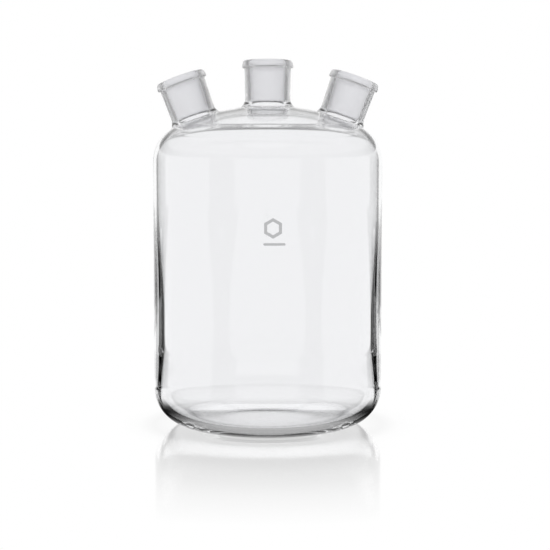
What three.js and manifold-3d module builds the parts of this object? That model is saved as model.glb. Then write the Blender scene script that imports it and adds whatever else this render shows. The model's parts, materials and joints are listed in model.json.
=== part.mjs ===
// A three-necked, flat-bottomed laboratory bottle of borosilicate glass, with ground joint sockets.
// Millimetres, +Z up. The origin is the centre of the base, on the plane that the bottle stands on.
// The three necks lie in the XZ plane: one stands upright and two lean outwards.
// Every piece is one that a glassblower joins: a base, a wall and a shoulder, three weld collars and
// three ready-made ground sockets.

import * as THREE from 'three';
import { mergeVertices } from 'three/addons/utils/BufferGeometryUtils.js';
import Module from 'manifold-3d';

const wasm = await Module();
wasm.setup();

const radians = THREE.MathUtils.degToRad;

// Gap between pieces that meet inside a turned group or along a cut.
const GAP = 0.3;

// Body.
const BODY_RADIUS = 91;
const BODY_SIDES = 64;
const HEEL_RADIUS = 30;
const HEEL_STEPS = 7;
const CONTACT_INNER_RADIUS = 50;
const PUSH_UP = 2.5;
const PUSH_UP_STEPS = 3;
const FLOOR_THICKNESS = 7;
const WALL_TOP = 210;
const WALL_STEPS = 9;

// Wall thickness from the heel to the shoulder, as [height, thickness]. It eases from one height to the
// next. Blown glass is never even: the wall is thickest a little above the heel.
const WALL_THICKNESS = [
  [HEEL_RADIUS, 5.7],
  [65, 8.4],
  [180, 3.6],
  [WALL_TOP, 3.6],
];

// Shoulder: an arc from the wall to a shallow crown that it meets tangentially.
const SHOULDER_RADIUS = 31;
const SHOULDER_SWEEP = radians(65);
const SHOULDER_THICKNESS = 3.6;
const SHOULDER_STEPS = 7;
const CROWN_STEPS = 4;

// Ground joint socket 29/32: bore diameters at the two ends of a 32 mm ground length, taper 1 in 10.
const BORE_TOP_RADIUS = 14.6;
const BORE_TAPER = 1 / 20;
const GROUND_LENGTH = 32;
const SOCKET_LENGTH = 34.3;
const SOCKET_SIDES = 40;
const TUBE_RADIUS = 17.9;
const TUBE_TOP_RADIUS = 18.5;
const BEAD_RADIUS = 20.4;
const BEAD_HEIGHT = 6.4;
const BEAD_ROUND = 1.8;
const BEAD_STEPS = 3;
const RIM_CHAMFER = 0.6;
const FLARE_START = 30;
const FLARE_ANGLE = radians(32);
const FLARE_STEPS = 2;

// Weld collars, from each socket's lower end to a circle on the shoulder.
const COLLAR_STEPS = 5;
const COLLAR_OUTER_PULL = 0.5;
const COLLAR_INNER_PULL = 0.55;

// A collar's foot is looked for this far below its weld, by this many halvings, and the shoulder's
// slope there is taken over this length.
const FOOT_SEARCH_DEPTH = 60;
const FOOT_HALVINGS = 40;
const SLOPE_LENGTH = 0.5;
const FOOT_CUTTER_HEIGHT = 60;

// Necks: where each socket's lower end sits, its lean towards +X, and its collar's foot circle.
const SIDE_X = 58.2;
const SIDE_Z = 244.7;
const SIDE_LEAN = radians(19.6);
const NECKS = [
  { side: 'centre', x: 0, z: 255.7, lean: 0, footRadius: 25.5, footShift: 0 },
  { side: 'right', x: SIDE_X, z: SIDE_Z, lean: SIDE_LEAN, footRadius: 22, footShift: -2 },
  { side: 'left', x: -SIDE_X, z: SIDE_Z, lean: -SIDE_LEAN, footRadius: 22, footShift: 2 },
];

// Finishes.
const CLEAR_GLASS = { color: 0xe9eef0, roughness: 0.05, metalness: 0 };
const GROUND_GLASS = { color: 0xd6d7dc, roughness: 0.6, metalness: 0 };

const crownRadius = SHOULDER_RADIUS + (BODY_RADIUS - SHOULDER_RADIUS) / Math.cos(SHOULDER_SWEEP);
const crownCentreZ = WALL_TOP - (crownRadius - SHOULDER_RADIUS) * Math.sin(SHOULDER_SWEEP);

// Points along a circular arc in the profile plane, both ends included.
function arc(centreR, centreZ, radius, from, to, steps) {
  return Array.from({ length: steps + 1 }, (_, i) => {
    const angle = from + ((to - from) * i) / steps;
    return new THREE.Vector2(centreR + radius * Math.cos(angle), centreZ + radius * Math.sin(angle));
  });
}

// A solid of revolution about Z from a profile that goes out along the bottom and back along the top.
function revolve(profile, sides) {
  return new THREE.LatheGeometry(profile, sides).rotateX(Math.PI / 2);
}

function wallThickness(z) {
  const next = Math.max(WALL_THICKNESS.findIndex(([height]) => height >= z), 1);
  const [lowZ, low] = WALL_THICKNESS[next - 1];
  const [highZ, high] = WALL_THICKNESS[next];
  return THREE.MathUtils.lerp(low, high, THREE.MathUtils.smoothstep(z, lowZ, highZ));
}

function wallInnerProfile() {
  return Array.from({ length: WALL_STEPS + 1 }, (_, i) => {
    const z = THREE.MathUtils.lerp(HEEL_RADIUS, WALL_TOP, i / WALL_STEPS);
    return new THREE.Vector2(BODY_RADIUS - wallThickness(z), z);
  });
}

// Height of the underside or, raised by the floor's thickness, of the floor.
function pushUpProfile(raise) {
  return Array.from({ length: PUSH_UP_STEPS + 1 }, (_, i) => {
    const r = (CONTACT_INNER_RADIUS * i) / PUSH_UP_STEPS;
    const share = r / CONTACT_INNER_RADIUS;
    return new THREE.Vector2(r, raise + PUSH_UP * (1 - share * share));
  });
}

function baseGeometry() {
  const quarter = Math.PI / 2;
  const innerRadius = HEEL_RADIUS - FLOOR_THICKNESS;
  const innerCentre = BODY_RADIUS - WALL_THICKNESS[0][1] - innerRadius;
  return revolve([
    ...pushUpProfile(0),
    ...arc(BODY_RADIUS - HEEL_RADIUS, HEEL_RADIUS, HEEL_RADIUS, -quarter, 0, HEEL_STEPS),
    ...arc(innerCentre, HEEL_RADIUS, innerRadius, 0, -quarter, HEEL_STEPS),
    ...pushUpProfile(FLOOR_THICKNESS).reverse(),
  ], BODY_SIDES);
}

function wallGeometry() {
  const inner = wallInnerProfile();
  return revolve([
    inner[0],
    new THREE.Vector2(BODY_RADIUS, HEEL_RADIUS),
    new THREE.Vector2(BODY_RADIUS, WALL_TOP),
    ...inner.reverse(),
  ], BODY_SIDES);
}

// The shoulder's profile from the wall to the axis, at a depth below its outer surface.
function shoulderProfile(depth) {
  const top = Math.PI / 2;
  return [
    ...arc(BODY_RADIUS - SHOULDER_RADIUS, WALL_TOP, SHOULDER_RADIUS - depth, 0, SHOULDER_SWEEP, SHOULDER_STEPS),
    ...arc(0, crownCentreZ, crownRadius - depth, SHOULDER_SWEEP, top, CROWN_STEPS).slice(1),
  ];
}

// The height of the shoulder at a distance from the bottle's axis, at a depth below its surface.
function shoulderHeight(r, depth) {
  const arcRadius = SHOULDER_RADIUS - depth;
  const arcCentre = BODY_RADIUS - SHOULDER_RADIUS;
  if (r > arcCentre + arcRadius * Math.cos(SHOULDER_SWEEP)) {
    return WALL_TOP + Math.sqrt(Math.max(arcRadius ** 2 - (r - arcCentre) ** 2, 0));
  }
  return crownCentreZ + Math.sqrt((crownRadius - depth) ** 2 - r * r);
}

// A manifold-3d solid from a closed geometry, and back again.
function toSolid(geometry) {
  geometry.deleteAttribute('normal');
  geometry.deleteAttribute('uv');
  const merged = mergeVertices(geometry);
  const corners = merged.index.array;
  const kept = [];
  for (let i = 0; i < corners.length; i += 3) {
    const [a, b, c] = corners.slice(i, i + 3);
    if (a !== b && b !== c && c !== a) kept.push(a, b, c);
  }
  return new wasm.Manifold(new wasm.Mesh({
    numProp: 3,
    vertProperties: new Float32Array(merged.attributes.position.array),
    triVerts: new Uint32Array(kept),
  }));
}

function toGeometry(solid) {
  const mesh = solid.getMesh();
  const geometry = new THREE.BufferGeometry();
  geometry.setAttribute('position', new THREE.BufferAttribute(mesh.vertProperties, 3));
  geometry.setIndex(new THREE.BufferAttribute(mesh.triVerts, 1));
  return geometry;
}

// A neck's own axes: out points away from the bottle's axis in the plane of the necks.
function neckFrame(neck) {
  return {
    weld: new THREE.Vector3(neck.x, 0, neck.z),
    out: new THREE.Vector3(Math.cos(neck.lean), 0, -Math.sin(neck.lean)),
    across: new THREE.Vector3(0, 1, 0),
    up: new THREE.Vector3(Math.sin(neck.lean), 0, Math.cos(neck.lean)),
  };
}

// The point at a radius and angle about a neck's axis, shifted sideways, at a height above its weld.
function neckPoint(neck, radius, angle, height, shift = 0) {
  const { weld, out, across, up } = neckFrame(neck);
  return weld.clone()
    .addScaledVector(out, radius * Math.cos(angle) + shift)
    .addScaledVector(across, radius * Math.sin(angle))
    .addScaledVector(up, height);
}

// Where a line along the neck through its foot circle meets the shoulder, found by halving.
function footPoint(neck, angle, depth) {
  let low = -FOOT_SEARCH_DEPTH;
  let high = 0;
  for (let i = 0; i < FOOT_HALVINGS; i += 1) {
    const middle = (low + high) / 2;
    const point = neckPoint(neck, neck.footRadius, angle, middle, neck.footShift);
    const above = point.z > shoulderHeight(Math.hypot(point.x, point.y), depth);
    if (above) high = middle;
    else low = middle;
  }
  return neckPoint(neck, neck.footRadius, angle, low, neck.footShift);
}

// The shoulder's slope at a point, as a direction in its surface that points at the neck's axis.
function footTangent(neck, foot, angle, depth) {
  const inward = neckPoint(neck, neck.footRadius - SLOPE_LENGTH, angle, 0, neck.footShift)
    .sub(neckPoint(neck, neck.footRadius, angle, 0, neck.footShift));
  const next = foot.clone().add(inward);
  next.z = shoulderHeight(Math.hypot(next.x, next.y), depth);
  return next.sub(foot).normalize();
}

// One side of a collar's wall: a curve from the foot circle up to the socket's lower end.
function collarCurve(neck, angle, depth, topRadius, topAngle, pull) {
  const foot = footPoint(neck, angle, depth);
  const top = neckPoint(neck, topRadius, angle, 0);
  const reach = pull * foot.distanceTo(top);
  const topTangent = neckPoint(neck, -Math.sin(topAngle), angle, Math.cos(topAngle))
    .sub(neckPoint(neck, 0, angle, 0));
  return new THREE.CubicBezierCurve3(
    foot,
    foot.clone().addScaledVector(footTangent(neck, foot, angle, depth), reach),
    top.clone().addScaledVector(topTangent, -reach),
    top,
  ).getPoints(COLLAR_STEPS);
}

// The closed section of a collar at one angle: up its outer side and down its inner side.
function collarSection(neck, angle) {
  const boreRadius = BORE_TOP_RADIUS - BORE_TAPER * GROUND_LENGTH;
  return [
    ...collarCurve(neck, angle, 0, flareEndRadius(), FLARE_ANGLE, COLLAR_OUTER_PULL),
    ...collarCurve(neck, angle, SHOULDER_THICKNESS, boreRadius, 0, COLLAR_INNER_PULL).reverse(),
  ];
}

// A ring-shaped solid from a closed section that changes with the angle.
function ringGeometry(sectionAt, sides) {
  const sections = Array.from({ length: sides }, (_, i) => sectionAt((2 * Math.PI * i) / sides));
  const count = sections[0].length;
  const index = [];
  for (let i = 0; i < sides; i += 1) {
    for (let j = 0; j < count; j += 1) {
      const here = i * count;
      const next = ((i + 1) % sides) * count;
      const above = (j + 1) % count;
      index.push(here + j, next + j, next + above, here + j, next + above, here + above);
    }
  }
  const geometry = new THREE.BufferGeometry().setFromPoints(sections.flat());
  geometry.setIndex(index);
  return geometry;
}

function flareRadius() {
  return (SOCKET_LENGTH - FLARE_START) / Math.sin(FLARE_ANGLE);
}

function flareEndRadius() {
  return TUBE_RADIUS + flareRadius() * (1 - Math.cos(FLARE_ANGLE));
}

// A ground socket about Z, with its mouth at SOCKET_LENGTH and its lower end a gap above height 0,
// where the collar ends.
function socketGeometry() {
  const quarter = Math.PI / 2;
  const flareHeight = SOCKET_LENGTH - FLARE_START;
  const flare = flareRadius();
  const boreRadius = BORE_TOP_RADIUS - BORE_TAPER * GROUND_LENGTH;
  const beadBottom = SOCKET_LENGTH - BEAD_HEIGHT;
  const roundCentre = BEAD_RADIUS - BEAD_ROUND;
  const lower = arc(TUBE_RADIUS + flare, flareHeight, flare, Math.PI + FLARE_ANGLE, Math.PI, FLARE_STEPS);
  lower[0].y = GAP;
  return revolve([
    new THREE.Vector2(boreRadius, GAP),
    ...lower,
    new THREE.Vector2(TUBE_TOP_RADIUS, beadBottom),
    ...arc(roundCentre, beadBottom + BEAD_ROUND, BEAD_ROUND, -quarter / 2, 0, BEAD_STEPS),
    ...arc(roundCentre, SOCKET_LENGTH - BEAD_ROUND, BEAD_ROUND, 0, quarter, BEAD_STEPS),
    new THREE.Vector2(BORE_TOP_RADIUS + RIM_CHAMFER, SOCKET_LENGTH),
    new THREE.Vector2(BORE_TOP_RADIUS, SOCKET_LENGTH - RIM_CHAMFER),
    new THREE.Vector2(boreRadius, SOCKET_LENGTH - GROUND_LENGTH),
    new THREE.Vector2(boreRadius, GAP),
  ], SOCKET_SIDES);
}

// The cylinder that clears a collar's foot, through the shoulder and parallel to the neck.
function footCutter(neck) {
  const radius = neck.footRadius + GAP;
  const geometry = new THREE.CylinderGeometry(radius, radius, FOOT_CUTTER_HEIGHT, SOCKET_SIDES)
    .rotateX(Math.PI / 2)
    .rotateY(neck.lean);
  const centre = neckPoint(neck, 0, 0, 0, neck.footShift);
  return toSolid(geometry.translate(centre.x, centre.y, centre.z));
}

function shoulderGeometry() {
  const inner = shoulderProfile(SHOULDER_THICKNESS).reverse();
  let solid = toSolid(revolve([...inner, ...shoulderProfile(0)], BODY_SIDES));
  for (const neck of NECKS) {
    solid = solid.subtract(footCutter(neck));
  }
  return toGeometry(solid);
}

function piece(name, geometry, finish) {
  const mesh = new THREE.Mesh(geometry, new THREE.MeshStandardMaterial(finish));
  mesh.name = name;
  return mesh;
}

function buildSocket(neck) {
  const socket = piece(`${neck.side}_ground_socket`, socketGeometry(), GROUND_GLASS);
  const turned = new THREE.Group();
  turned.position.set(neck.x, 0, neck.z);
  turned.rotation.y = neck.lean;
  turned.add(socket);
  return turned;
}

function buildCollar(neck) {
  const geometry = ringGeometry((angle) => collarSection(neck, angle), SOCKET_SIDES);
  return piece(`${neck.side}_neck_collar`, geometry, CLEAR_GLASS);
}

const bottle = new THREE.Group();
bottle.add(piece('bottle_base', baseGeometry(), CLEAR_GLASS));
bottle.add(piece('bottle_wall', wallGeometry(), CLEAR_GLASS));
bottle.add(piece('bottle_shoulder', shoulderGeometry(), CLEAR_GLASS));
for (const neck of NECKS) {
  bottle.add(buildCollar(neck), buildSocket(neck));
}

export default bottle;
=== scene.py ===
# Looks of a three-necked, flat-bottomed laboratory bottle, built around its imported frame. Metres, +Z up.
# Each glass piece is a closed solid with exact surface normals. Where two pieces are fused together, the
# faces that they share take a clear material, so that the bottle looks like one piece of glass.
import json
import math

import bpy
import numpy as np
from mathutils.geometry import delaunay_2d_cdt
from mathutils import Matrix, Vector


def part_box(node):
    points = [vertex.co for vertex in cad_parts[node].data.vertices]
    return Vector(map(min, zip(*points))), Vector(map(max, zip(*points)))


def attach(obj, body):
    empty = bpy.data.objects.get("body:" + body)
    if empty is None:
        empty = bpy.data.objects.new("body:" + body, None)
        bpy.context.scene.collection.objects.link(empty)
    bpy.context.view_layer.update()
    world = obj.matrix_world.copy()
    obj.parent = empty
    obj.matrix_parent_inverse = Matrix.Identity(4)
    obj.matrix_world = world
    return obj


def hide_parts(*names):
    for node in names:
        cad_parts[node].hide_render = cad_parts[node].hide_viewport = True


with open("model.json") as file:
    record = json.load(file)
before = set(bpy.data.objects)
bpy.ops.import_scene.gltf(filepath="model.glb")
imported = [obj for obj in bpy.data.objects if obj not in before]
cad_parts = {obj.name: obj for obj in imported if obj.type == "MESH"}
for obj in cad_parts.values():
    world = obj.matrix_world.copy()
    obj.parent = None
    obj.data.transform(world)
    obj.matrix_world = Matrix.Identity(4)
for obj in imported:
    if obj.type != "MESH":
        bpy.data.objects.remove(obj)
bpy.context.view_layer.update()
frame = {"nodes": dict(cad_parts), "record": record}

# Mesh fineness: sides of turned sheets, steps along their profiles, and the spacing of the crown's points.
BODY_SIDES = 320
NECK_SIDES = 128
PUSH_UP_STEPS = 40
HEEL_STEPS = 48
INNER_HEEL_STEPS = 40
WALL_STEPS = 48
SHOULDER_STEPS = 40
COLLAR_STEPS = 28
FLARE_STEPS = 12
TUBE_STEPS = 12
FILLET_STEPS = 8
BEAD_STEPS = 14
GROUND_STEPS = 24
FLAT_STEPS = 2
CROWN_SPACING = 0.0024

# Points closer than this are one point of a mesh, and TINY is the least length that counts.
WELD_DISTANCE = 1e-7
TINY = 1e-9

# Body. Its radius and the heights of the wall's two ends are read off the frame.
wall_low, wall_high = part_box("bottle_wall")
BODY_RADIUS = wall_high.x
HEEL_RADIUS = wall_low.z
WALL_TOP = wall_high.z
CONTACT_INNER_RADIUS = 0.050
PUSH_UP = 0.0025
FLOOR_THICKNESS = 0.007

# Wall thickness as [height, thickness], blended smoothly from one height to the next.
WALL_THICKNESS = [
    (HEEL_RADIUS, 0.0057),
    (0.065, 0.0084),
    (0.180, 0.0036),
    (WALL_TOP, 0.0036),
]

# Shoulder: an arc from the wall to a shallow crown that it meets tangentially. The part of it inside
# DISC_RADIUS is a triangulated disc with three holes, and the rest is turned.
SHOULDER_RADIUS = 0.031
SHOULDER_CENTRE = BODY_RADIUS - SHOULDER_RADIUS
SHOULDER_SWEEP = math.radians(65)
SHOULDER_THICKNESS = 0.0036
CROWN_RADIUS = SHOULDER_RADIUS + SHOULDER_CENTRE / math.cos(SHOULDER_SWEEP)
CROWN_CENTRE_Z = WALL_TOP - (CROWN_RADIUS - SHOULDER_RADIUS) * math.sin(SHOULDER_SWEEP)
DISC_RADIUS = 0.0795

# Ground joint socket 29/32. Its heights are above its lower end, and the frosting starts at FROST_FOOT.
SOCKET_LENGTH = 0.0343
BORE_TOP_RADIUS = 0.0146
BORE_RADIUS = 0.0130
FROST_FOOT = 0.0002
RIM_CHAMFER = 0.0006
RIM_INNER_RADIUS = BORE_TOP_RADIUS + RIM_CHAMFER
TUBE_RADIUS = 0.0179
TUBE_TOP_RADIUS = 0.0185
BEAD_RADIUS = 0.0204
BEAD_HEIGHT = 0.0064
BEAD_LOWER_ROUND = 0.0015
BEAD_UPPER_ROUND = 0.0026
BEAD_LEAN = math.radians(10)
BEAD_FILLET = 0.0006
FLARE_HEIGHT = 0.0043
FLARE_ANGLE = math.radians(32)
FLARE_RADIUS = FLARE_HEIGHT / math.sin(FLARE_ANGLE)
FLARE_END_RADIUS = TUBE_RADIUS + FLARE_RADIUS * (1 - math.cos(FLARE_ANGLE))

# Weld collars: each foot circle's radius and its shift along the first of the neck's axes, and how far the
# outer and inner curves keep their end directions, as a share of their span.
FEET = {"centre": (0.0255, 0.0), "right": (0.022, -0.002), "left": (0.022, 0.002)}
COLLAR_OUTER_PULL = 0.5
COLLAR_INNER_PULL = 0.55
FOOT_SEARCH_DEPTH = 0.06
FOOT_HALVINGS = 48

# Print on the front of the wall: a hexagon ring over a bar.
PRINT_LIFT = 0.00003
PRINT_THICKNESS = 0.00009
RING_X, RING_Z = 0.0044, 0.1610
RING_RADIUS = 0.0076
RING_WIDTH = 0.0026
RING_CORNERS = 6
RING_SIDE_STEPS = 8
BAR_X, BAR_Z = 0.0054, 0.1492
BAR_HALF_LENGTH = 0.0082
BAR_HALF_HEIGHT = 0.0009
BAR_END_SHARE = 0.1
BAR_STEPS = 24

# Places of the materials in GLASS_SET, which every glass piece carries.
GLASS, INTERFACE, GROUND = 0, 1, 2


# ---------------------------------------------------------------- sheets of points with normals

def sheet(points, normals, faces, material=GLASS):
    return {"points": points, "normals": normals, "faces": faces, "material": material}


def grid_faces(rows, columns):
    """Quads of a grid that closes on itself along its columns."""
    faces = []
    for i in range(rows - 1):
        for j in range(columns):
            k = (j + 1) % columns
            faces.append((i * columns + j, i * columns + k, (i + 1) * columns + k, (i + 1) * columns + j))
    return faces


def circle_angles(sides):
    return np.arange(sides) * (2 * math.pi / sides)


def circle(radius, angles):
    return radius * np.stack([np.cos(angles), np.sin(angles)], axis=1)


def turned(profile, sides, material=GLASS, place=None):
    """A sheet turned about an axis, from a profile of (radius, height, normal out, normal up) rows."""
    profile = np.array(profile)
    angles = circle_angles(sides)
    around = np.stack([np.cos(angles), np.sin(angles)], axis=-1)

    def spin(out, up):
        flat = out[:, None, None] * around[None]
        tall = np.broadcast_to(up[:, None, None], flat.shape[:2] + (1,))
        return np.concatenate([flat, tall], axis=2).reshape(-1, 3)

    points = spin(profile[:, 0], profile[:, 1])
    normals = spin(profile[:, 2], profile[:, 3])
    if place is not None:
        points = place["weld"] + points @ place["axes"]
        normals = normals @ place["axes"]
    return sheet(points, normals, grid_faces(len(profile), sides), material)


def arc(centre, radius, start, end, steps, inward=False):
    """Profile rows along an arc, in degrees. Normals point away from its centre, or to it if inward."""
    sign = -1 if inward else 1
    rows = []
    for angle in np.radians(np.linspace(start, end, steps + 1)):
        out, up = math.cos(angle), math.sin(angle)
        rows.append((centre[0] + radius * out, centre[1] + radius * up, sign * out, sign * up))
    return rows


def line(start, end, steps=1, side=1):
    """Profile rows along a line. Its normals point to the right of its direction, or left with side=-1."""
    run = np.array(end) - np.array(start)
    run = side * run / np.linalg.norm(run)
    return [
        (start[0] + (end[0] - start[0]) * t, start[1] + (end[1] - start[1]) * t, run[1], -run[0])
        for t in np.linspace(0, 1, steps + 1)
    ]


def curve(points, side=1):
    """Profile rows along a smooth run of points, with normals to its right, or left with side=-1."""
    points = np.array(points)
    runs = np.gradient(points, axis=0, edge_order=2)
    runs *= side / np.linalg.norm(runs, axis=1)[:, None]
    return [(p[0], p[1], r[1], -r[0]) for p, r in zip(points, runs)]


def smooth(t):
    return t * t * (3 - 2 * t)


def build(name, sheets, materials):
    """One mesh from sheets. Points that coincide are shared, and each sheet keeps its own normals."""
    points = np.concatenate([s["points"] for s in sheets])
    corner_normals = np.concatenate([s["normals"] for s in sheets])
    keys = np.round(points / WELD_DISTANCE).astype(np.int64)
    _, first, shared = np.unique(keys, axis=0, return_index=True, return_inverse=True)
    shared = shared.reshape(-1)
    faces, face_materials, loop_normals = [], [], []
    offset = 0
    for s in sheets:
        for face in s["faces"]:
            corners = [offset + i for i in face]
            kept = [c for k, c in enumerate(corners) if shared[c] != shared[corners[k - 1]]]
            if len(kept) < 3:
                continue
            a, b, c = [points[i] for i in (kept[0], kept[1], kept[-1])]
            outward = sum(corner_normals[i] for i in kept)
            if np.dot(np.cross(b - a, c - a), outward) < 0:
                kept.reverse()
            faces.append([int(shared[i]) for i in kept])
            face_materials.append(s["material"])
            loop_normals.extend(corner_normals[i] for i in kept)
        offset += len(s["points"])
    mesh = bpy.data.meshes.new(name)
    mesh.from_pydata(points[first].tolist(), [], faces)
    mesh.polygons.foreach_set("material_index", face_materials)
    mesh.shade_smooth()
    loop_normals = np.array(loop_normals)
    loop_normals /= np.linalg.norm(loop_normals, axis=1)[:, None]
    mesh.normals_split_custom_set(loop_normals.tolist())
    for material in materials:
        mesh.materials.append(material)
    piece = bpy.data.objects.new(name, mesh)
    bpy.context.scene.collection.objects.link(piece)
    return piece


# ---------------------------------------------------------------- the bottle's surfaces

def wall_thickness(z):
    """Thickness of the wall at each height, easing from one given thickness to the next."""
    result = np.full_like(z, WALL_THICKNESS[-1][1])
    for (z0, t0), (z1, t1) in reversed(list(zip(WALL_THICKNESS, WALL_THICKNESS[1:]))):
        share = np.clip((z - z0) / (z1 - z0), 0, 1)
        result = np.where(z <= z1, t0 + (t1 - t0) * smooth(share), result)
    return result


def shoulder_height(r, depth):
    """Height of the shoulder at a distance from the bottle's axis, at a depth below its surface."""
    arc_radius = SHOULDER_RADIUS - depth
    on_arc = r > SHOULDER_CENTRE + arc_radius * math.cos(SHOULDER_SWEEP)
    arc_z = WALL_TOP + np.sqrt(np.maximum(arc_radius ** 2 - (r - SHOULDER_CENTRE) ** 2, 0))
    crown_z = CROWN_CENTRE_Z + np.sqrt((CROWN_RADIUS - depth) ** 2 - r * r)
    return np.where(on_arc, arc_z, crown_z)


def shoulder_normals(points, depth):
    """Upward unit normals of the shoulder at points on it."""
    r = np.hypot(points[:, 0], points[:, 1])
    arc_radius = SHOULDER_RADIUS - depth
    on_arc = r > SHOULDER_CENTRE + arc_radius * math.cos(SHOULDER_SWEEP)
    away = points[:, :2] / np.maximum(r, TINY)[:, None]
    centres = np.zeros_like(points)
    centres[:, :2] = np.where(on_arc[:, None], away * SHOULDER_CENTRE, 0)
    centres[:, 2] = np.where(on_arc, WALL_TOP, CROWN_CENTRE_Z)
    normals = points - centres
    return normals / np.linalg.norm(normals, axis=1)[:, None]


def push_up(raise_by, side):
    """Profile of the underside, or of the floor inside, from the axis out to the contact ring."""
    r = np.linspace(0, CONTACT_INNER_RADIUS, PUSH_UP_STEPS + 1)
    z = raise_by + PUSH_UP * (1 + np.cos(math.pi * r / CONTACT_INNER_RADIUS)) / 2
    return curve(np.stack([r, z], axis=1), side)


def neck_place(side):
    """A neck's weld centre and its axes: out and across its opening, and up along it."""
    mount = next(m for m in frame["record"]["mounts"] if m["name"] == f"{side}_socket_rim")
    up = np.array(mount["axis"]) / np.linalg.norm(mount["axis"])
    out = np.array([up[2], 0, -up[0]])
    axes = np.array([out, [0, 1, 0], up])
    points = np.array([v.co[:] for v in frame["nodes"][f"{side}_ground_socket"].data.vertices]) @ axes.T
    middle = (points.max(axis=0) + points.min(axis=0)) / 2
    rim = np.array([middle[0], middle[1], points[:, 2].max()])
    weld = (rim - [0, 0, SOCKET_LENGTH]) @ axes
    radius, shift = FEET[side]
    return {"side": side, "weld": weld, "axes": axes, "foot_radius": radius, "foot_shift": shift}


def foot_points(neck, angles, depth):
    """Where lines along the neck, through its foot circle, meet the shoulder, found by halving."""
    out, across, up = neck["axes"]
    base = (
        neck["weld"]
        + (neck["foot_radius"] * np.cos(angles) + neck["foot_shift"])[:, None] * out
        + (neck["foot_radius"] * np.sin(angles))[:, None] * across
    )
    low = np.full(len(angles), -FOOT_SEARCH_DEPTH)
    high = np.zeros(len(angles))
    for _ in range(FOOT_HALVINGS):
        middle = (low + high) / 2
        points = base + middle[:, None] * up
        above = points[:, 2] > shoulder_height(np.hypot(points[:, 0], points[:, 1]), depth)
        high = np.where(above, middle, high)
        low = np.where(above, low, middle)
    return base + low[:, None] * up


def collar_sheet(neck, depth, top_radius, top_angle, pull, facing):
    """One side of a collar: cubic curves from the foot circle up to the socket's lower end."""
    out, across, up = neck["axes"]
    t = np.linspace(0, 1, COLLAR_STEPS + 1)[:, None, None]

    def curves(angles):
        foot = foot_points(neck, angles, depth)
        inward = -(np.cos(angles)[:, None] * out + np.sin(angles)[:, None] * across)
        slope = shoulder_normals(foot, depth)
        foot_run = inward - up * (np.sum(inward * slope, axis=1) / (slope @ up))[:, None]
        foot_run /= np.linalg.norm(foot_run, axis=1)[:, None]
        top = neck["weld"] - top_radius * inward
        top_run = math.sin(top_angle) * inward + math.cos(top_angle) * up
        reach = pull * np.linalg.norm(top - foot, axis=1)[:, None]
        a, b, c, d = foot, foot + foot_run * reach, top - top_run * reach, top
        points = (1 - t) ** 3 * a + 3 * t * (1 - t) ** 2 * b + 3 * t * t * (1 - t) * c + t ** 3 * d
        runs = 3 * (1 - t) ** 2 * (b - a) + 6 * t * (1 - t) * (c - b) + 3 * t * t * (d - c)
        return points, runs

    angles = circle_angles(NECK_SIDES)
    points, runs = curves(angles)
    step = 1e-4
    around = curves(angles + step)[0] - curves(angles - step)[0]
    normals = facing * np.cross(around, runs)
    normals /= np.linalg.norm(normals, axis=2)[:, :, None]
    return sheet(points.reshape(-1, 3), normals.reshape(-1, 3), grid_faces(COLLAR_STEPS + 1, NECK_SIDES))


def ruled(points_a, points_b, normals, material):
    """A closed band between two loops of points."""
    return sheet(
        np.concatenate([points_a, points_b]), np.concatenate([normals, normals]),
        grid_faces(2, len(points_a)), material,
    )


def filling(holes):
    """Points spread over the disc, in rings, that keep out of the holes and off their edges."""
    rings = [np.zeros((1, 2))]
    count = int(DISC_RADIUS / CROWN_SPACING)
    for i in range(1, count):
        radius = DISC_RADIUS * i / count
        angles = circle_angles(round(2 * math.pi * radius / CROWN_SPACING)) + i
        rings.append(circle(radius, angles))
    points = np.concatenate(rings)
    for hole in holes:
        gaps = np.linalg.norm(points[:, None] - hole[None], axis=2).min(axis=1)
        points = points[(gaps > CROWN_SPACING / 2) & ~inside(points, hole)]
    return points


def disc_sheet(necks, depth, facing):
    """The crown as a triangulated disc, with a hole for each collar's foot."""
    angles = circle_angles(NECK_SIDES)
    holes = [foot_points(neck, angles, depth)[:, :2] for neck in necks]
    loops = [circle(DISC_RADIUS, circle_angles(BODY_SIDES))] + holes
    edges, total = [], 0
    for loop in loops:
        edges += [(total + i, total + (i + 1) % len(loop)) for i in range(len(loop))]
        total += len(loop)
    points = np.concatenate(loops + [filling(holes)])
    whole_hull = 0
    found = delaunay_2d_cdt([tuple(p) for p in points], edges, [], whole_hull, TINY)
    vertices, _, triangles, sources = found[:4]
    flat = np.array([points[s[0]] if s else v[:] for v, s in zip(vertices, sources)])
    triangles = np.array(triangles)
    middles = flat[triangles].mean(axis=1)
    kept = ~np.any([inside(middles, hole) for hole in holes], axis=0)
    height = shoulder_height(np.hypot(flat[:, 0], flat[:, 1]), depth)
    lifted = np.column_stack([flat, height])
    return sheet(lifted, facing * shoulder_normals(lifted, depth), triangles[kept].tolist())


def inside(points, loop):
    """Which points of the plane lie inside a loop."""
    x, y = points[:, 0][:, None], points[:, 1][:, None]
    ax, ay = loop[:, 0][None], loop[:, 1][None]
    bx, by = np.roll(loop[:, 0], -1)[None], np.roll(loop[:, 1], -1)[None]
    straddles = (ay > y) != (by > y)
    with np.errstate(divide="ignore", invalid="ignore"):
        crossing = ax + (y - ay) * (bx - ax) / (by - ay)
    return np.sum(straddles & (x < crossing), axis=1) % 2 == 1


# ---------------------------------------------------------------- pieces

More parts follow.
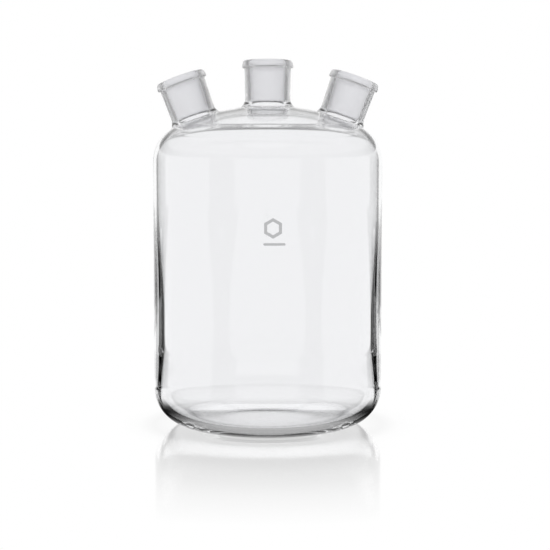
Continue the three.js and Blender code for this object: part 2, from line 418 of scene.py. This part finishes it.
def base_sheets():
    inner_radius = HEEL_RADIUS - FLOOR_THICKNESS
    inner_wall = BODY_RADIUS - WALL_THICKNESS[0][1]
    inner_centre = inner_wall - inner_radius
    heel_centre = BODY_RADIUS - HEEL_RADIUS
    underside = push_up(0, 1) + line((CONTACT_INNER_RADIUS, 0), (heel_centre, 0), FLAT_STEPS)[1:]
    underside += arc((heel_centre, HEEL_RADIUS), HEEL_RADIUS, -90, 0, HEEL_STEPS)[1:]
    cut = line((BODY_RADIUS, HEEL_RADIUS), (inner_wall, HEEL_RADIUS))
    inner = arc((inner_centre, HEEL_RADIUS), inner_radius, 0, -90, INNER_HEEL_STEPS, inward=True)
    inner += line((inner_centre, FLOOR_THICKNESS), (CONTACT_INNER_RADIUS, FLOOR_THICKNESS), FLAT_STEPS)[1:]
    inner += push_up(FLOOR_THICKNESS, -1)[::-1][1:]
    return [turned(underside, BODY_SIDES), turned(cut, BODY_SIDES, INTERFACE), turned(inner, BODY_SIDES)]


def wall_sheets():
    z = np.linspace(HEEL_RADIUS, WALL_TOP, WALL_STEPS + 1)
    r = BODY_RADIUS - wall_thickness(z)
    outer = line((BODY_RADIUS, HEEL_RADIUS), (BODY_RADIUS, WALL_TOP), WALL_STEPS)
    inner = curve(np.stack([r, z], axis=1), -1)
    foot = line((r[0], HEEL_RADIUS), (BODY_RADIUS, HEEL_RADIUS))
    head = line((BODY_RADIUS, WALL_TOP), (r[-1], WALL_TOP))
    return [
        turned(outer, BODY_SIDES),
        turned(inner, BODY_SIDES),
        turned(foot, BODY_SIDES, INTERFACE),
        turned(head, BODY_SIDES, INTERFACE),
    ]


def shoulder_sheets(necks):
    sheets = []
    for depth, facing in ((0, 1), (SHOULDER_THICKNESS, -1)):
        radius = SHOULDER_RADIUS - depth
        sweep = math.degrees(math.acos((DISC_RADIUS - SHOULDER_CENTRE) / radius))
        centre = (SHOULDER_CENTRE, WALL_TOP)
        profile = arc(centre, radius, 0, sweep, SHOULDER_STEPS, inward=facing < 0)
        sheets.append(turned(profile, BODY_SIDES))
        sheets.append(disc_sheet(necks, depth, facing))
    cut = line((BODY_RADIUS - SHOULDER_THICKNESS, WALL_TOP), (BODY_RADIUS, WALL_TOP))
    sheets.append(turned(cut, BODY_SIDES, INTERFACE))
    for neck in necks:
        sheets.append(foot_cut(neck, -1))
    return sheets


def foot_cut(neck, facing):
    """The face that a collar's foot shares with the shoulder."""
    angles = circle_angles(NECK_SIDES)
    out, across, _ = neck["axes"]
    normals = facing * (np.cos(angles)[:, None] * out + np.sin(angles)[:, None] * across)
    outer = foot_points(neck, angles, 0)
    inner = foot_points(neck, angles, SHOULDER_THICKNESS)
    return ruled(outer, inner, normals, INTERFACE)


def collar_sheets(neck):
    cut = line((FLARE_END_RADIUS, 0), (BORE_RADIUS, 0))
    return [
        collar_sheet(neck, 0, FLARE_END_RADIUS, FLARE_ANGLE, COLLAR_OUTER_PULL, 1),
        collar_sheet(neck, SHOULDER_THICKNESS, BORE_RADIUS, 0, COLLAR_INNER_PULL, -1),
        foot_cut(neck, 1),
        turned(cut, NECK_SIDES, INTERFACE, neck),
    ]


def bead_centres():
    """Centres of the bead's lower and upper rounds. Its flank between them leans inwards as it rises."""
    low = (BEAD_RADIUS - BEAD_LOWER_ROUND, SOCKET_LENGTH - BEAD_HEIGHT + BEAD_LOWER_ROUND)
    lean_out = np.array([math.cos(BEAD_LEAN), math.sin(BEAD_LEAN)])
    lean_up = np.array([-math.sin(BEAD_LEAN), math.cos(BEAD_LEAN)])
    growth = BEAD_UPPER_ROUND - BEAD_LOWER_ROUND
    high_z = SOCKET_LENGTH - BEAD_UPPER_ROUND
    run = (high_z - low[1] + growth * lean_out[1]) / lean_up[1]
    high = np.array(low) - growth * lean_out + run * lean_up
    return low, high


def socket_outside():
    """Profile of a socket's outside, from its lower end up: flare, tube, fillet, bead and flat rim."""
    low, high = bead_centres()
    fillet_out = TUBE_TOP_RADIUS + BEAD_FILLET
    reach = BEAD_LOWER_ROUND + BEAD_FILLET
    fillet_z = low[1] - math.sqrt(reach ** 2 - (low[0] - fillet_out) ** 2)
    fillet_turn = math.degrees(math.atan2(low[1] - fillet_z, low[0] - fillet_out))
    flare_centre = (TUBE_RADIUS + FLARE_RADIUS, FLARE_HEIGHT)
    flare_start = 180 + math.degrees(FLARE_ANGLE)
    lean = math.degrees(BEAD_LEAN)
    rows = arc(flare_centre, FLARE_RADIUS, flare_start, 180, FLARE_STEPS, inward=True)
    rows += line((TUBE_RADIUS, FLARE_HEIGHT), (TUBE_TOP_RADIUS, fillet_z), TUBE_STEPS)[1:]
    rows += arc((fillet_out, fillet_z), BEAD_FILLET, 180, fillet_turn, FILLET_STEPS, inward=True)
    rows += arc(low, BEAD_LOWER_ROUND, fillet_turn - 180, lean, BEAD_STEPS)[1:]
    rows += arc(high, BEAD_UPPER_ROUND, lean, 90, BEAD_STEPS)
    rows += line((high[0], SOCKET_LENGTH), (RIM_INNER_RADIUS, SOCKET_LENGTH), FLAT_STEPS)[1:]
    return rows


def socket_sheets(neck):
    rim_foot = (BORE_TOP_RADIUS, SOCKET_LENGTH - RIM_CHAMFER)
    rim = line((RIM_INNER_RADIUS, SOCKET_LENGTH), rim_foot)
    ground = line(rim_foot, (BORE_RADIUS, FROST_FOOT), GROUND_STEPS)
    bore = line((BORE_RADIUS, FROST_FOOT), (BORE_RADIUS, 0))
    cut = line((BORE_RADIUS, 0), (FLARE_END_RADIUS, 0))
    return [
        turned(socket_outside(), NECK_SIDES, GLASS, neck),
        turned(rim, NECK_SIDES, GROUND, neck),
        turned(ground, NECK_SIDES, GROUND, neck),
        turned(bore, NECK_SIDES, GLASS, neck),
        turned(cut, NECK_SIDES, INTERFACE, neck),
    ]


# ---------------------------------------------------------------- materials

BOROSILICATE_IOR = 1.473


def new_material(name):
    material = bpy.data.materials.new(name)
    material.use_nodes = True
    nodes = material.node_tree.nodes
    return material, nodes, material.node_tree.links, nodes["Principled BSDF"]


def bumped(nodes, links, shader, scale, detail, distance, strength):
    """Noise in the object's own coordinates as a bump on a shader."""
    place = nodes.new("ShaderNodeTexCoord")
    noise = nodes.new("ShaderNodeTexNoise")
    noise.inputs["Scale"].default_value = scale
    noise.inputs["Detail"].default_value = detail
    bump = nodes.new("ShaderNodeBump")
    bump.inputs["Distance"].default_value = distance
    bump.inputs["Strength"].default_value = strength
    links.new(place.outputs["Object"], noise.inputs["Vector"])
    links.new(noise.outputs["Fac"], bump.inputs["Height"])
    links.new(bump.outputs["Normal"], shader.inputs["Normal"])
    return noise


def clear_glass():
    """Clear glass with a faint, slow wave in its surface."""
    material, nodes, links, shader = new_material("clear_glass")
    shader.inputs["Base Color"].default_value = (0.935, 0.937, 0.945, 1)
    shader.inputs["Transmission Weight"].default_value = 1
    shader.inputs["IOR"].default_value = BOROSILICATE_IOR
    shader.inputs["Roughness"].default_value = 0.0
    bumped(nodes, links, shader, scale=22, detail=1, distance=0.001, strength=0.03)
    return material


def ground_glass():
    """Frosted glass, for the faces that are ground."""
    material, nodes, links, shader = new_material("ground_glass")
    shader.inputs["Base Color"].default_value = (0.945, 0.945, 0.965, 1)
    shader.inputs["Transmission Weight"].default_value = 0.92
    shader.inputs["IOR"].default_value = BOROSILICATE_IOR
    shader.inputs["Roughness"].default_value = 0.33
    bumped(nodes, links, shader, scale=2500, detail=3, distance=0.00005, strength=0.4)
    return material


def interface():
    """Fully clear, for the faces that two fused pieces share."""
    material = bpy.data.materials.new("fused_face")
    material.use_nodes = True
    nodes = material.node_tree.nodes
    nodes.remove(nodes["Principled BSDF"])
    clear = nodes.new("ShaderNodeBsdfTransparent")
    material.node_tree.links.new(clear.outputs["BSDF"], nodes["Material Output"].inputs["Surface"])
    return material


def print_grey():
    """Dull grey ink, slightly mottled."""
    material, nodes, links, shader = new_material("print_grey")
    shader.inputs["Roughness"].default_value = 0.7
    noise = bumped(nodes, links, shader, scale=1800, detail=2, distance=0.00002, strength=0.3)
    ramp = nodes.new("ShaderNodeValToRGB")
    ramp.color_ramp.elements[0].color = (0.44, 0.445, 0.455, 1)
    ramp.color_ramp.elements[1].color = (0.53, 0.535, 0.54, 1)
    links.new(noise.outputs["Fac"], ramp.inputs["Fac"])
    links.new(ramp.outputs["Color"], shader.inputs["Base Color"])
    return material


# ---------------------------------------------------------------- print

def on_wall(x, z, lift):
    """A point in front of the wall: x is measured along its curve, and lift away from it."""
    turn = x / BODY_RADIUS
    radius = BODY_RADIUS + lift
    return (radius * math.sin(turn), -radius * math.cos(turn), z)


def plate(columns, closed):
    """A thin plate on the wall, from columns of two (x, z) points each. Open plates get end faces."""
    points, faces = [], []
    for low, high in columns:
        for (x, z), lift in ((low, 0), (high, 0), (high, PRINT_THICKNESS), (low, PRINT_THICKNESS)):
            points.append(on_wall(x, z, PRINT_LIFT + lift))
    count = len(columns)
    corners = len(points) // count
    for i in range(count if closed else count - 1):
        here, there = corners * i, corners * ((i + 1) % count)
        for k in range(corners):
            m = (k + 1) % corners
            faces.append((here + k, there + k, there + m, here + m))
    if not closed:
        first = tuple(range(corners))
        last = tuple(reversed(range(len(points) - corners, len(points))))
        faces += [first, last]
    return points, faces


def hexagon_ring():
    """A hexagon's outline with a corner at the top."""
    columns = []
    for i in range(RING_CORNERS * RING_SIDE_STEPS):
        corner, step = divmod(i, RING_SIDE_STEPS)
        a, b = [math.radians(360 / RING_CORNERS * (corner + k + 0.5)) for k in (0, 1)]
        t = step / RING_SIDE_STEPS
        x = math.cos(a) * (1 - t) + math.cos(b) * t
        z = math.sin(a) * (1 - t) + math.sin(b) * t
        radii = (RING_RADIUS - RING_WIDTH, RING_RADIUS)
        columns.append([(RING_X + r * x, RING_Z + r * z) for r in radii])
    return plate(columns, True)


def bar():
    """A bar with round ends, cut off where they are BAR_END_SHARE of its height."""
    columns = []
    for i in range(BAR_STEPS + 1):
        x = BAR_HALF_LENGTH * -math.cos(math.pi * i / BAR_STEPS)
        over = max(abs(x) - (BAR_HALF_LENGTH - BAR_HALF_HEIGHT), 0)
        half = math.sqrt(max(BAR_HALF_HEIGHT ** 2 - over ** 2, (BAR_END_SHARE * BAR_HALF_HEIGHT) ** 2))
        columns.append([(BAR_X + x, BAR_Z - half), (BAR_X + x, BAR_Z + half)])
    return plate(columns, False)


def build_print(material):
    points, faces = [], []
    for more_points, more_faces in (hexagon_ring(), bar()):
        offset = len(points)
        points += more_points
        faces += [tuple(offset + i for i in face) for face in more_faces]
    mesh = bpy.data.meshes.new("front_print")
    mesh.from_pydata(points, [], faces)
    mesh.materials.append(material)
    piece = bpy.data.objects.new("front_print", mesh)
    bpy.context.scene.collection.objects.link(piece)
    return piece


# ---------------------------------------------------------------- stage

# Edge light is light that was reflected at least once, by the glass or by the floor's gloss, and has passed
# at most two of the glass's surfaces. It shows most near the glass's edges. A light path's depths are whole
# numbers, so the limits lie between them.
LEAST_REFLECTIONS = 0.5
MOST_SURFACES = 2.5

# The pale floor, as (distance from the bottle's axis, level) pairs: its glow, painted brighter under the
# bottle and painted darker in a ring about it as a soft contact shadow that no light casts, and its gloss.
# Edge light passes through it.
FLOOR_REACH = 6.0
FLOOR_Z = -0.0001
FLOOR_GLOW_AND_PAINTED_SHADOW = ((0, 1.15), (0.05, 1.12), (0.062, 0.98), (0.092, 0.88), (0.105, 0.98), (0.12, 1.0))
GLOSS = ((0, 0.0), (0.055, 0.0), (0.062, 0.45), (0.15, 0.28), (0.25, 0.09), (0.32, 0.0))
GLOSS_ROUGHNESS = 0.07

# A second floor just below it, which only edge light reaches: painted shade in rings about the bottle's
# axis, as the dark heart of the contact shadow, that the glass shows along its heel and lower edges.
EDGE_FLOOR_Z = -0.0006
EDGE_PAINTED_SHADE = (
    (0, 0.9), (0.05, 0.85), (0.058, 0.55), (0.076, 0.5), (0.083, 0.15), (0.088, 0.02), (0.102, 0.02),
    (0.11, 0.3), (0.14, 1.0),
)

# Black strips beyond the bottle's flanks: wedges that lie between the two floors, and cards that stand
# across them. A strip's darkness is the product of two levels: one by the bearing from the flank, with 0
# straight ahead of the viewer, and one by the reach from the flank, or by height. The glass refracts the
# wedges and cards, and reflects a wider pair of wedges. The camera doesn't see them: they are painted
# shade, put there only to draw the dark lines along the glass's edges.
WEDGE_Z = -0.0003
WEDGE_BEARINGS = ((25.0, 0.0), (27.0, 1.0), (38.0, 1.0), (41.0, 0.0))
WEDGE_REACHES = ((0.02, 1.0), (1.2, 1.0), (4.5, 0.0))
REFLECTED_BEARINGS = ((24.0, 0.0), (27.0, 1.0), (47.0, 1.0), (55.0, 0.0))
CARD_REACH = 1.2
CARD_BEARINGS = ((27.0, 0.0), (30.0, 1.0), (50.0, 1.0), (57.0, 0.0))
CARD_HEIGHTS = ((0.0, 1.0), (0.15, 0.95), (0.3, 0.6), (0.45, 0.0))

# Brightness of the sky that the glass refracts, by elevation: a white backdrop, a dark gap, and a wide soft
# light overhead.
SKY = ((-90, 1.0), (8.9, 1.0), (9.6, 0.0), (17, 0.0), (21, 0.55), (32, 0.55), (40, 0.8), (90, 0.8))


def stage_material(name):
    """An empty material for the stage, with its output socket."""
    material = bpy.data.materials.new(name)
    material.use_nodes = True
    nodes, links = material.node_tree.nodes, material.node_tree.links
    nodes.remove(nodes["Principled BSDF"])
    return material, nodes, links, nodes["Material Output"].inputs["Surface"]


def by_distance(nodes, links, levels):
    """A grey level by distance from the bottle's axis, given as (distance, level) pairs."""
    place = nodes.new("ShaderNodeTexCoord")
    length = nodes.new("ShaderNodeVectorMath")
    length.operation = "LENGTH"
    share = nodes.new("ShaderNodeMath")
    share.operation = "DIVIDE"
    share.inputs[1].default_value = levels[-1][0]
    ramp = grey_ramp(nodes, [(distance / levels[-1][0], level) for distance, level in levels])
    links.new(place.outputs["Object"], length.inputs[0])
    links.new(length.outputs["Value"], share.inputs[0])
    links.new(share.outputs[0], ramp.inputs["Fac"])
    return ramp.outputs["Color"]


def grey_ramp(nodes, stops):
    """A ramp with (position, level) stops. A stop's first position doesn't matter, as it is set after."""
    ramp = nodes.new("ShaderNodeValToRGB")
    while len(ramp.color_ramp.elements) < len(stops):
        ramp.color_ramp.elements.new(0.5)
    for element, (position, level) in zip(ramp.color_ramp.elements, stops):
        element.position = position
        element.color = (level, level, level, 1)
    return ramp


def stage_object(name, points, faces, material):
    mesh = bpy.data.meshes.new(name)
    mesh.from_pydata(points, [], faces)
    mesh.materials.append(material)
    thing = bpy.data.objects.new(name, mesh)
    bpy.context.scene.collection.objects.link(thing)
    return thing


def edge_light(nodes, links):
    """Whether light is edge light."""
    path = nodes.new("ShaderNodeLightPath")
    turned_back = math_node(nodes, links, "GREATER_THAN", path.outputs["Glossy Depth"], LEAST_REFLECTIONS)
    one_wall = math_node(nodes, links, "LESS_THAN", path.outputs["Transmission Depth"], MOST_SURFACES)
    return math_node(nodes, links, "MULTIPLY", turned_back, one_wall)


def math_node(nodes, links, operation, first, second):
    node = nodes.new("ShaderNodeMath")
    node.operation = operation
    links.new(first, node.inputs[0])
    if isinstance(second, float):
        node.inputs[1].default_value = second
    else:
        links.new(second, node.inputs[1])
    return node.outputs[0]


def mix(nodes, links, share, first, second):
    node = nodes.new("ShaderNodeMixShader")
    links.new(share, node.inputs[0])
    links.new(first, node.inputs[1])
    links.new(second, node.inputs[2])
    return node.outputs[0]


def glow(nodes, links, levels):
    """A flat brightness that depends on the distance from the bottle's axis."""
    node = nodes.new("ShaderNodeEmission")
    links.new(by_distance(nodes, links, levels), node.inputs["Color"])
    return node.outputs[0]


def clear(nodes):
    return nodes.new("ShaderNodeBsdfTransparent").outputs[0]


def build_square(name, z, material):
    r = FLOOR_REACH
    square = stage_object(name, [(-r, -r, 0), (r, -r, 0), (r, r, 0), (-r, r, 0)], [(0, 1, 2, 3)], material)
    square.location.z = z


def build_floor():
    """The pale floor, with a painted contact shadow and a painted brighter patch under the bottle. It lets
    edge light through to the second floor.
    """
    material, nodes, links, surface = stage_material("floor")
    shine = nodes.new("ShaderNodeBsdfGlossy")
    shine.inputs["Color"].default_value = (1, 1, 1, 1)
    shine.inputs["Roughness"].default_value = GLOSS_ROUGHNESS
    gloss = by_distance(nodes, links, GLOSS)
    # Painted light: the glow's levels make a painted contact shadow ring and a painted brighter patch under
    # the bottle.
    plain = mix(nodes, links, gloss, glow(nodes, links, FLOOR_GLOW_AND_PAINTED_SHADOW), shine.outputs[0])
    links.new(mix(nodes, links, edge_light(nodes, links), plain, clear(nodes)), surface)
    build_square("floor", FLOOR_Z, material)


def build_edge_floor():
    """The second floor, a sheet of painted shade. The pale floor hides it from all but edge light."""
    material, nodes, links, surface = stage_material("edge_floor")
    # Painted shade: dark rings about the bottle's axis, seen only through and off the glass.
    links.new(glow(nodes, links, EDGE_PAINTED_SHADE), surface)
    build_square("edge_floor", EDGE_FLOOR_Z, material)


def black(name, edge_only):
    """Black, as far as the mesh's own darkness goes, for all light or only for edge light."""
    material, nodes, links, surface = stage_material(name)
    dark = nodes.new("ShaderNodeEmission")
    dark.inputs["Strength"].default_value = 0.0
    attribute = nodes.new("ShaderNodeAttribute")
    attribute.attribute_name = "darkness"
    share = attribute.outputs["Fac"]
    if edge_only:
        share = math_node(nodes, links, "MULTIPLY", share, edge_light(nodes, links))
    links.new(mix(nodes, links, share, clear(nodes), dark.outputs[0]), surface)
    return material


def build_strips(name, facing, bearings, rows, material):
    """Two strips for a viewer who faces one bearing, in degrees from +Y. Rows are (reach, z, darkness)."""
    points, faces, darkness = [], [], []
    columns = len(bearings)
    for side in (-1, 1):
        flank = math.radians(facing + side * 90)
        for row, (reach, z, by_row) in enumerate(rows):
            for column, (turn, by_turn) in enumerate(bearings):
                a = math.radians(facing + side * turn)
                x = BODY_RADIUS * math.sin(flank) + reach * math.sin(a)
                y = BODY_RADIUS * math.cos(flank) + reach * math.cos(a)
                i = len(points)
                points.append((x, y, z))
                darkness.append(by_row * by_turn)
                if row and column:
                    faces.append((i - columns - 1, i - columns, i, i - 1))
    strips = stage_object(f"{name}_{facing}", points, faces, material)
    strips.data.attributes.new("darkness", "FLOAT", "POINT").data.foreach_set("value", darkness)
    # Painted shade: the strips are hidden from the camera and only darken what the glass refracts or
    # reflects.
    strips.visible_camera = False
    return strips


def build_dark_strips():
    """Hidden dark sheets that paint shade along the glass's edges: wedges and cards for each of four
    viewers, and the wider, reflected wedges for the one in front.
    """
    on_floor = [(reach, WEDGE_Z, dark) for reach, dark in WEDGE_REACHES]
    upright = [(CARD_REACH, z, dark) for z, dark in CARD_HEIGHTS]
    wedge_black = black("wedge_black", False)
    card_black = black("card_black", True)
    for facing in (0, 90, 180, 270):
        build_strips("wedges", facing, WEDGE_BEARINGS, on_floor, wedge_black).visible_glossy = False
        build_strips("cards", facing, CARD_BEARINGS, upright, card_black).visible_glossy = False
    reflected = build_strips("reflected_wedges", 0, REFLECTED_BEARINGS, on_floor, wedge_black)
    reflected.visible_transmission = False


def build_world():
    """A studio that is plain white, except that the glass refracts the sky's dark gap and softer top."""
    world = bpy.data.worlds.new("studio")
    bpy.context.scene.world = world
    world.use_nodes = True
    nodes, links = world.node_tree.nodes, world.node_tree.links
    place = nodes.new("ShaderNodeTexCoord")
    split = nodes.new("ShaderNodeSeparateXYZ")
    ramp = grey_ramp(nodes, [((1 + math.sin(math.radians(e))) / 2, level) for e, level in SKY])
    spread = nodes.new("ShaderNodeMapRange")
    spread.inputs["From Min"].default_value = -1
    path = nodes.new("ShaderNodeLightPath")
    choice = nodes.new("ShaderNodeMix")
    choice.data_type = "RGBA"
    choice.inputs["A"].default_value = (1, 1, 1, 1)
    links.new(place.outputs["Generated"], split.inputs["Vector"])
    links.new(split.outputs["Z"], spread.inputs["Value"])
    links.new(spread.outputs["Result"], ramp.inputs["Fac"])
    links.new(path.outputs["Is Transmission Ray"], choice.inputs["Factor"])
    links.new(ramp.outputs["Color"], choice.inputs["B"])
    links.new(choice.outputs["Result"], nodes["Background"].inputs["Color"])


# Camera. Its lens and sensor are in millimetres.
CAMERA_PLACE = (0.0058, -1.100, 0.207)
CAMERA_PITCH = math.radians(-4.55)
CAMERA_LENS = 90.07
CAMERA_SENSOR = 36


def build_camera():
    data = bpy.data.cameras.new("camera")
    data.sensor_width = CAMERA_SENSOR
    data.lens = CAMERA_LENS
    camera = bpy.data.objects.new("camera", data)
    camera.location = CAMERA_PLACE
    camera.rotation_euler = (math.pi / 2 + CAMERA_PITCH, 0, 0)
    bpy.context.scene.collection.objects.link(camera)
    bpy.context.scene.camera = camera


def light_paths():
    """Plain colours, and bounces enough for light that passes many layers of glass and strips."""
    scene = bpy.context.scene
    scene.view_settings.view_transform = "Standard"
    scene.cycles.max_bounces = 32
    scene.cycles.transmission_bounces = 32
    scene.cycles.glossy_bounces = 16
    scene.cycles.transparent_max_bounces = 48


# ---------------------------------------------------------------- assembly

light_paths()
build_camera()
build_world()
build_floor()
build_edge_floor()
build_dark_strips()

GLASS_SET = [clear_glass(), interface(), ground_glass()]
necks = [neck_place(side) for side in ("centre", "right", "left")]

parts = [
    ("bottle_base", base_sheets(), "clear_glass"),
    ("bottle_wall", wall_sheets(), "clear_glass"),
    ("bottle_shoulder", shoulder_sheets(necks), "clear_glass"),
]
for neck in necks:
    parts.append((f"{neck['side']}_neck_collar", collar_sheets(neck), "clear_glass"))
    parts.append((f"{neck['side']}_ground_socket", socket_sheets(neck), "ground_glass"))

for node, sheets, slot in parts:
    piece = build(f"{node}_glass", sheets, GLASS_SET)
    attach(piece, "root")
    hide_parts(node)

front_print = build_print(print_grey())
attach(front_print, "root")
